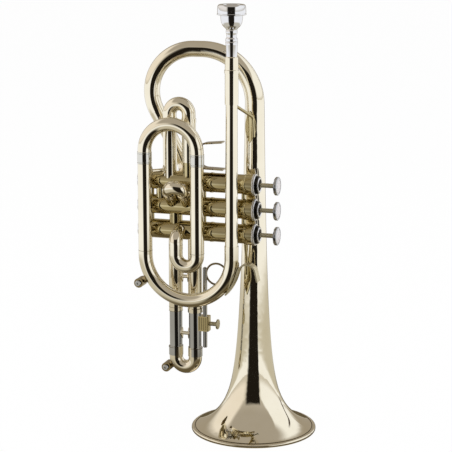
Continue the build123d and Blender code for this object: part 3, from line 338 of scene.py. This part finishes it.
# the bell's rim is rolled over a wire, and a soldered seam runs inside the roll
bellRim = {
    "roll": 1.6,
    "rollSides": 24,
    "seamReach": 56.75,
    "seamHeight": 3.35,
    "seam": 0.42,
    "steps": 256,
}
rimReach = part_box("bell")[1][1] * 1000
rollProfile = wireProfile(
    rimReach - bellRim["roll"], bellRim["roll"], bellRim["roll"], bellRim["rollSides"])
seamProfile = wireProfile(bellRim["seamReach"], bellRim["seamHeight"], bellRim["seam"])
turnedPiece(
    "bellRimRoll", rollProfile, [(0, 0, 0)], "cornet",
    "lacqueredBrassBuffed", steps=bellRim["steps"],
)
turnedPiece(
    "bellRimSeam", seamProfile, [(0, 0, 0)], "cornet",
    "solderTarnished", steps=bellRim["steps"],
)

# the mouthpiece is turned from one bar: radius, and drop below its top
mouthpieceTurning = {
    "shankEnd": (4.55, 70.4),
    "rings": [
        (5.3, 36.9), (5.55, 36.4), (5.6, 34.0), (5.35, 33.6), (5.6, 33.2), (5.55, 31.1),
        (4.95, 30.4), (4.7, 29.7), (4.75, 26.6), (5.15, 26.1), (5.3, 24.9), (5.2, 23.6),
        (4.95, 23.0),
    ],
    "cup": [(4.95, 23.0), (5.7, 21.7), (8.0, 19.4), (9.45, 16.2), (9.95, 13.0), (10.1, 10.2)],
    "rimLedge": [(12.5, 9.75), (13.2, 9.4), (13.35, 9.0), (13.3, 8.5), (12.95, 8.2)],
    "rimSide": [
        (12.95, 8.2), (13.05, 7.0), (12.95, 4.4), (12.7, 1.9), (12.2, 0.8), (11.3, 0.2),
        (10.4, 0.1), (9.3, 0.45),
    ],
    "bowl": [(8.3, 1.4), (7.95, 3.4), (6.7, 6.8), (4.5, 9.8), (2.45, 12.0), (1.85, 13.8)],
    "backbore": [(1.85, 21.0), (3.9, 70.4)],
}
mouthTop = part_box("mouthpiece")[1][2] * 1000
# a smooth line starts at the last point of the plain one before it
turning = [mouthpieceTurning["shankEnd"], *mouthpieceTurning["rings"][:-1]]
turning += curved(mouthpieceTurning["cup"]) + mouthpieceTurning["rimLedge"][:-1]
turning += curved(mouthpieceTurning["rimSide"]) + curved(mouthpieceTurning["bowl"])
turning += mouthpieceTurning["backbore"]
mouthpieceAxis = middleOf("mouthpiece")[:2]
turnedMouthpiece = turnedPiece(
    "turnedMouthpiece", [(radius, mouthTop - drop) for radius, drop in turning],
    [(*mouthpieceAxis, 0)], "mouthpiece", "silverPlatePolished",
)
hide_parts("mouthpiece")
print("bell rim and mouthpiece turned")

# each valve's top cap: a plain skirt, a knurled flange, a dome painted near black as a painted
# reflection, and a bright bead; rows are radius, rise and, for a knurl, how far it swings, all
# in mm
topCap = {
    "flangeDrop": 4.6,  # the flange's foot lies this far below the cap's nose
    "skirtFoot": [
        (9.12, 0.0), (9.9, 0.0), (10.0, 0.15), (10.0, 1.2), (9.8, 1.4), (9.8, 1.8), (10.0, 2.0),
    ],
    "skirtHead": [(10.0, 0.0), (9.12, 0.0)],
    "flange": [
        (8.0, 0.0), (9.9, 0.0), (10.15, 0.3, 0.14), (10.15, 2.0, 0.14), (9.9, 2.4), (9.3, 2.6),
        (8.7, 2.3), (8.0, 1.6),
    ],
    "domeFoot": [(2.2, 0.8), (8.6, 0.8)],
    "domeSide": [(8.7, 1.9), (8.7, 3.4), (8.4, 4.5), (7.7, 5.3), (6.4, 5.6), (5.1, 5.3)],
    "domeSeat": [(5.0, 0.0), (2.2, 0.0)],
    "bead": (6.3, 5.15, 1.0),
    "knurls": 60,
    "knurlSteps": 240,
}
valveCentres = [(0, *middleOf(f"valve_casing_{number}")[1:]) for number in (1, 2, 3)]
capLow, capTop = (end[0] * 1000 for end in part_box("top_caps"))
capFlange = capTop - topCap["flangeDrop"]
beadReach, beadRise, beadWire = topCap["bead"]
skirtProfile = liftedProfile(topCap["skirtFoot"], capLow)
skirtProfile += liftedProfile(topCap["skirtHead"], capFlange)
domeProfile = liftedProfile(topCap["domeFoot"], capFlange)
domeProfile += curved(liftedProfile(topCap["domeSide"], capFlange))
domeProfile += liftedProfile(topCap["domeSeat"], capTop)
# the skirts take the brass painted darker as shade among the valves
capSkirts = turnedPiece(
    "capSkirts", skirtProfile, valveCentres, "cornet",
    "lacqueredBrassPaintedShade", "x",
)
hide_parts("top_caps")
turnedPiece(
    "capFlanges", liftedProfile(topCap["flange"], capFlange), valveCentres, "cornet",
    "silverPlatePolished", "x", topCap["knurlSteps"], topCap["knurls"],
)
# the domes are painted near black: a painted dark reflection, not a finish of their own
turnedPiece(
    "capDomes", domeProfile, valveCentres, "cornet",
    "nickelPaintedDarkReflection", "x",
)
turnedPiece(
    "capBeads", wireProfile(beadReach, capFlange + beadRise, beadWire), valveCentres, "cornet",
    "silverPlatePolished", "x",
)
print("top caps turned")

# the main slide's ferrules have a turned line near each end
mainFerrules = {
    "bore": 6.12,
    "skin": 6.8,
    "ends": [(0.2, 0.0), (0.0, 0.2), (0.0, 1.1), (0.35, 1.3), (0.35, 1.7), (0.0, 1.9)],
}
ferruleLow, ferruleHigh = (end[2] * 1000 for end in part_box("main_slide_ferrules"))
turnedFerrules = turnedPiece(
    "turnedFerrules", ferruleProfile(**mainFerrules, low=ferruleLow, high=ferruleHigh),
    legPlaces("main_slide_ferrules", mainFerrules["skin"]), "main_slide",
    "nickelSilverBright",
)
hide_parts("main_slide_ferrules")

# the third slide's ferrules are nickel silver over the ends of its brass crook
thirdFerrules = {"bore": 6.4, "skin": 6.86, "ends": [(0.15, 0.0), (0.0, 0.15)]}
thirdFerruleHeight, thirdLegInset = 8.9, 6.8
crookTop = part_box("third_slide_crook")[1][2] * 1000
turnedPiece(
    "thirdFerruleSleeves",
    ferruleProfile(**thirdFerrules, low=crookTop - thirdFerruleHeight, high=crookTop),
    legPlaces("third_slide_crook", thirdLegInset, depthNode="third_slide_tubes"), "third_slide",
    "nickelSilverPolished",
)
print("ferrules turned")

# fine dark lines of solder where tubes meet
solderSetup = {"wire": 0.17, "sides": 8, "legInset": 6.55, "steps": 64}
solderLines = {
    # name: node, its low or high end, mm above that end, radius in mm, body
    "solderLine1": ("main_outer_tubes", 0, 0.0, 6.55, "cornet"),
    "solderLine2": ("third_outer_tubes", 0, 0.2, 6.55, "cornet"),
    "solderLine3": ("third_outer_tubes", 0, 4.0, 6.55, "cornet"),
    "solderLine4": ("third_slide_crook", 1, -0.9, 6.85, "third_slide"),
}
for name, (node, end, rise, skin, body) in solderLines.items():
    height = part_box(node)[end][2] + rise / 1000
    turnedPiece(
        name, wireProfile(skin, 0.0, solderSetup["wire"], solderSetup["sides"]),
        legPlaces(node, solderSetup["legInset"], height), body,
        "solderTarnished", steps=solderSetup["steps"],
    )
print("solder lines laid")

# upright ribs stand on the clamp block's front face, sunk a little into it
clampRibs = {
    "count": 5,
    "radius": 0.62,
    "taper": 0.3,
    "sink": 0.25,
    "sideGap": 1.2,
    "endGap": 0.8,
    "steps": 20,
}
blockLow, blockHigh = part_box("rod_clamp_block")
ribGap, ribReach, ribTaper = clampRibs["sideGap"] / 1000, clampRibs["radius"], clampRibs["taper"]
ribXs = np.linspace(blockLow[0] + ribGap, blockHigh[0] - ribGap, clampRibs["count"])
ribLow = blockLow[2] * 1000 + clampRibs["endGap"]
ribHigh = blockHigh[2] * 1000 - clampRibs["endGap"]
ribProfile = [
    (0.0, ribLow), (ribReach, ribLow + ribTaper), (ribReach, ribHigh - ribTaper), (0.0, ribHigh),
]
# the ribs take the brass painted darker as shade between parts
turnedPiece(
    "clampRibs", ribProfile, [(x, blockLow[1] + clampRibs["sink"] / 1000, 0) for x in ribXs],
    "third_slide", "lacqueredBrassPaintedShade", steps=clampRibs["steps"],
)
print("clamp block ribbed")

# the valve springs are wound wire, fixed to the cornet at their full length
springSetup = {"wire": 0.45, "turns": 8, "pointsPerTurn": 40, "sides": 10, "travel": 13.8}


def coiledSpring(name, node):
    # a wire of radius w along a helix: axis centre + R (cos a, sin a) across and
    # pitch x a along; the wire's ends are drawn in to a point
    low, high = (np.array(end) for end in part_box(node))
    middle, wire = (low + high) / 2, springSetup["wire"] / 1000
    reach = (high[1] - low[1]) / 2 - wire
    steps = springSetup["turns"] * springSetup["pointsPerTurn"] + 1
    share = np.linspace(0, 1, steps)[:, None]
    turn = 2 * math.pi * springSetup["turns"] * share
    around = np.linspace(0, 2 * math.pi, springSetup["sides"], endpoint=False)[None, :]
    thickness = wire * np.minimum(1.0, np.minimum(share, 1 - share) * (steps - 1))
    along = low[0] + wire + (high[0] - low[0] - 2 * wire) * share + thickness * np.sin(around)
    out = reach + thickness * np.cos(around)
    across, upward = middle[1] + out * np.cos(turn), middle[2] + out * np.sin(turn)
    spring = gridMesh(name, np.stack([along, across, upward], axis=-1), closedV=True)
    weldPoints(spring, outwards=True)
    spring.data.materials.append(materials["springSteelDrawn"])
    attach(spring, "cornet")
    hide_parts(node)
    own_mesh(spring)


for number in (1, 2, 3):
    coiledSpring(f"woundSpring{number}", f"valve_spring_{number}")
print("valve springs wound")

# azimuths below are in degrees from the camera's own, positive to its right
stageSetup = {
    "floorRings": (0.001, 0.5, 2.0, 8.0, 40.0),
    "floorTurns": 96,
    "floorDrop": 0.0004,
    "floorColour": "#FFFFFF",
    "floorGlow": 0.97,
    "backdropColour": "#FFFFFF",
    "horizonColour": "#CFC9BE",
    "ceilingColour": "#ADA59A",
    "horizonBand": (0.02, 0.7),  # upward part of the view between the two colours
    "roomLight": 0.55,
    "domeCentre": (0.0, -0.02, 0.2),
    "leanFrom": 18.0,  # degrees up
    "tableGrid": (145, 81),
    "patchGrid": (97, 65),
}
tableSetup = {
    # name: height, radii, their fades, azimuths, their fades, colour, strength
    "farPaper": (0.0002, (0.6, 30.0), (0.35, 0.0), (-180.0, 180.0), (0.0, 0.0), "#FFFFFF", 1.0),
    "nearCloth": (
        0.0001, (0.001, 1.1), (0.0, 0.0),
        (-180.0, 180.0), (0.0, 0.0), "#CBC5B5", 1.0,
    ),
    "contactShade": (
        0.0004, (0.001, 0.3), (0.0, 0.18),
        (-180.0, 180.0), (0.0, 0.0), "#645941", 1.0,
    ),
    "backCloth": (0.00025, (0.3, 17.0), (0.3, 0.0), (146.0, 214.0), (8.0, 8.0), "#A69C8C", 1.0),
    "blackCloth": (
        0.0003, (0.12, 16.0), (0.1, 0.0),
        (-41.0, 28.5), (12.0, 4.0), "#1F1B16", 1.0,
    ),
}
patchSetup = {
    # name: reach, azimuths, their fades, elevations, their fades, colour, strength, lean
    "leftWindow": (
        17.0, (-152.0, -32.0), (16.0, 22.0),
        (-1.0, 60.0), (6.0, 16.0), "#FBF3EA", 0.95, -1.6,
    ),
    "rightWindow": (
        17.0, (26.0, 152.0), (10.0, 10.0),
        (-1.0, 62.0), (6.0, 14.0), "#FFFFFF", 1.0, 1.6,
    ),
    "windowBar": (16.0, (127.0, 132.0), (1.2, 1.2), (-2.0, 44.0), (4.0, 10.0), "#5A5048", 1.0),
    "backWall": (16.5, (146.0, 214.0), (8.0, 8.0), (-1.0, 70.0), (0.0, 14.0), "#A69C8C", 1.0),
    "blackFlag": (15.0, (-41.0, 28.5), (12.0, 4.0), (-2.0, 29.0), (0.0, 6.0), "#1F1B16", 1.0),
}
cameraSetup = {
    "azimuth": 18.0,
    "elevation": 12.0,
    "distance": 1.5,
    "lens": 126.9,
    "target": (-0.0218, -0.0200, 0.2034),
    "clipEnd": 200.0,
}


def smoothStep(value):
    # three squares less two cubes of the value: from 0 to 1, level at both ends
    held = np.clip(value, 0.0, 1.0)
    return held * held * (3.0 - 2.0 * held)


def rampCover(value, limits, fades):
    # full cover between two limits, falling smoothly to nothing at each
    cover = np.ones_like(value)
    for gap, fade in ((value - limits[0], fades[0]), (limits[1] - value, fades[1])):
        if fade > 0:
            cover = cover * smoothStep(gap / fade)
    return cover


def mirrorCard(name, points, cover, colour, strength):
    # a glowing card seen in mirrors only; its cover fades it out at the edges
    card = gridMesh(name, points)
    coverLayer = card.data.attributes.new("cover", "FLOAT", "POINT")
    coverLayer.data.foreach_set("value", cover.ravel())
    material, tree = newMaterial(name + "Paint")
    amount = addNode(tree, "ShaderNodeAttribute", settings={"attribute_name": "cover"})
    clear = addNode(tree, "ShaderNodeBsdfTransparent")
    glow = {"Color": hexColour(colour), "Strength": strength}
    light = addNode(tree, "ShaderNodeEmission", inputs=glow)
    mixed = addNode(
        tree, "ShaderNodeMixShader",
        links={0: amount.outputs["Fac"], 1: clear.outputs["BSDF"], 2: light.outputs["Emission"]},
    )
    addNode(tree, "ShaderNodeOutputMaterial", links={"Surface": mixed.outputs["Shader"]})
    card.data.materials.append(material)
    card.visible_camera = False
    card.visible_shadow = False
    card.visible_diffuse = False


def tableCard(name, height, radii, radiusFades, azimuths, azimuthFades, colour, strength):
    # a flat ring or sector on the floor: x = r sin(a), y = -r cos(a)
    columns, rows = stageSetup["tableGrid"]
    turned, reaches = np.linspace(*azimuths, columns), np.geomspace(*radii, rows)
    angle, reach = np.meshgrid(turned, reaches, indexing="ij")
    swung = np.radians(angle + cameraSetup["azimuth"])
    across, inward = reach * np.sin(swung), -reach * np.cos(swung)
    spot = np.stack([across, inward, np.full_like(reach, height)], axis=-1)
    cover = rampCover(angle, azimuths, azimuthFades) * rampCover(reach, radii, radiusFades)
    mirrorCard(name, spot, cover, colour, strength)


def skyPatch(
    name, reach, azimuths, azimuthFades, elevations, elevationFades, colour, strength, lean=0.0
):
    # a patch of a big dome: r cos(e) sin(a), -r cos(e) cos(a), r sin(e); lean moves
    # the edge nearer the camera outwards as the patch rises past leanFrom
    columns, rows = stageSetup["patchGrid"]
    turned, raised = np.linspace(*azimuths, columns), np.linspace(*elevations, rows)
    angle, rise = np.meshgrid(turned, raised, indexing="ij")
    swung, lifted = np.radians(angle + cameraSetup["azimuth"]), np.radians(rise)
    across, inward = np.cos(lifted) * np.sin(swung), -np.cos(lifted) * np.cos(swung)
    spot = np.stack([across, inward, np.sin(lifted)], axis=-1)
    shift = lean * np.maximum(rise - stageSetup["leanFrom"], 0.0)
    edges = (azimuths[0] + np.maximum(shift, 0.0), azimuths[1] + np.minimum(shift, 0.0))
    cover = rampCover(angle, edges, azimuthFades) * rampCover(rise, elevations, elevationFades)
    mirrorCard(name, spot * reach + np.array(stageSetup["domeCentre"]), cover, colour, strength)


def plainSurface(name, colour, glow):
    # glow is what the camera and mirrors see; lamps still leave a shadow on it
    material, tree = newMaterial(name)
    path = addNode(tree, "ShaderNodeLightPath")
    seen = addNode(
        tree, "ShaderNodeMath",
        settings={"operation": "MAXIMUM"},
        links={0: path.outputs["Is Camera Ray"], 1: path.outputs["Is Glossy Ray"]},
    )
    paint = {"Color": hexColour(colour)}
    matt = addNode(tree, "ShaderNodeBsdfDiffuse", inputs=paint)
    light = addNode(tree, "ShaderNodeEmission", inputs={**paint, "Strength": 1.0})
    amount = addNode(
        tree, "ShaderNodeMath",
        settings={"operation": "MULTIPLY"},
        inputs={1: glow},
        links={0: seen.outputs[0]},
    )
    mixed = addNode(
        tree, "ShaderNodeMixShader",
        links={0: amount.outputs[0], 1: matt.outputs["BSDF"], 2: light.outputs["Emission"]},
    )
    addNode(tree, "ShaderNodeOutputMaterial", links={"Surface": mixed.outputs["Shader"]})
    return material


# the floor is a disc of rings that widen outwards: x = r sin(a), y = -r cos(a)
turns = np.linspace(2 * math.pi, 0, stageSetup["floorTurns"], endpoint=False)
turn, ring = np.meshgrid(turns, np.array(stageSetup["floorRings"]), indexing="ij")
depth = np.full_like(turn, -stageSetup["floorDrop"])
floorPoints = np.stack([ring * np.sin(turn), -ring * np.cos(turn), depth], axis=-1)
floor = gridMesh("floor", floorPoints, closedU=True)
paperFloor = plainSurface("paperFloor", stageSetup["floorColour"], stageSetup["floorGlow"])
floor.data.materials.append(paperFloor)

for name, setup in tableSetup.items():
    tableCard(name, *setup)
for name, setup in patchSetup.items():
    skyPatch(name, *setup)

# the room is white to the camera; mirrors see it fall from a pale horizon to a
# duller ceiling, and everything else is lit by an even share of white
world = bpy.data.worlds.new("whiteStudio")
bpy.context.scene.world = world
world.use_nodes = True
worldTree = world.node_tree
worldTree.nodes.clear()
rays = addNode(worldTree, "ShaderNodeLightPath")
direction = addNode(worldTree, "ShaderNodeTexCoord")
upward = addNode(worldTree, "ShaderNodeSeparateXYZ", links={0: direction.outputs["Generated"]})
climb = addNode(
    worldTree, "ShaderNodeMapRange",
    settings={"interpolation_type": "SMOOTHSTEP"},
    inputs=dict(zip(("From Min", "From Max"), stageSetup["horizonBand"])),
    links={"Value": upward.outputs["Z"]},
)
room = addNode(
    worldTree, "ShaderNodeMix",
    settings={"data_type": "RGBA"},
    inputs={
        6: hexColour(stageSetup["horizonColour"]),
        7: hexColour(stageSetup["ceilingColour"]),
    },
    links={"Factor": climb.outputs["Result"]},
)
mirrored = addNode(
    worldTree, "ShaderNodeMix",
    settings={"data_type": "RGBA"},
    inputs={6: hexColour(stageSetup["backdropColour"])},
    links={"Factor": rays.outputs["Is Glossy Ray"], 7: room.outputs[2]},
)
bright = addNode(
    worldTree, "ShaderNodeMath",
    settings={"operation": "MAXIMUM"},
    links={0: rays.outputs["Is Camera Ray"], 1: rays.outputs["Is Glossy Ray"]},
)
strength = addNode(
    worldTree, "ShaderNodeMapRange",
    inputs={"To Min": stageSetup["roomLight"], "To Max": 1.0},
    links={"Value": bright.outputs[0]},
)
sky = addNode(
    worldTree, "ShaderNodeBackground",
    links={"Color": mirrored.outputs[2], "Strength": strength.outputs["Result"]},
)
addNode(worldTree, "ShaderNodeOutputWorld", links={"Surface": sky.outputs["Background"]})

# two soft lamps give the matt pieces their shading; mirrors don't see them
lampSetup = {
    # name: place, size in metres, power in watts
    "overheadSoftbox": ((0.3, -0.2, 2.2), 1.6, 20.0),
    "leftSoftbox": ((-1.8, -0.7, 1.0), 1.2, 9.0),
}
target = Vector(cameraSetup["target"])
for name, (place, size, power) in lampSetup.items():
    lamp = bpy.data.lights.new(name, "AREA")
    lamp.size = size
    lamp.energy = power
    holder = bpy.data.objects.new(name, lamp)
    holder.location = place
    holder.rotation_euler = (target - Vector(place)).to_track_quat("-Z", "Y").to_euler()
    holder.visible_glossy = False
    bpy.context.scene.collection.objects.link(holder)

azimuth = math.radians(cameraSetup["azimuth"])
elevation = math.radians(cameraSetup["elevation"])
back = Vector((
    math.sin(azimuth) * math.cos(elevation),
    -math.cos(azimuth) * math.cos(elevation),
    math.sin(elevation),
))
camera = bpy.data.objects.new("camera", bpy.data.cameras.new("camera"))
bpy.context.scene.collection.objects.link(camera)
camera.data.lens = cameraSetup["lens"]
camera.data.clip_end = cameraSetup["clipEnd"]
camera.location = target + back * cameraSetup["distance"]
camera.rotation_euler = (-back).to_track_quat("-Z", "Y").to_euler()
bpy.context.scene.camera = camera
bpy.context.scene.view_settings.view_transform = "Standard"
print("stage, light and camera set")
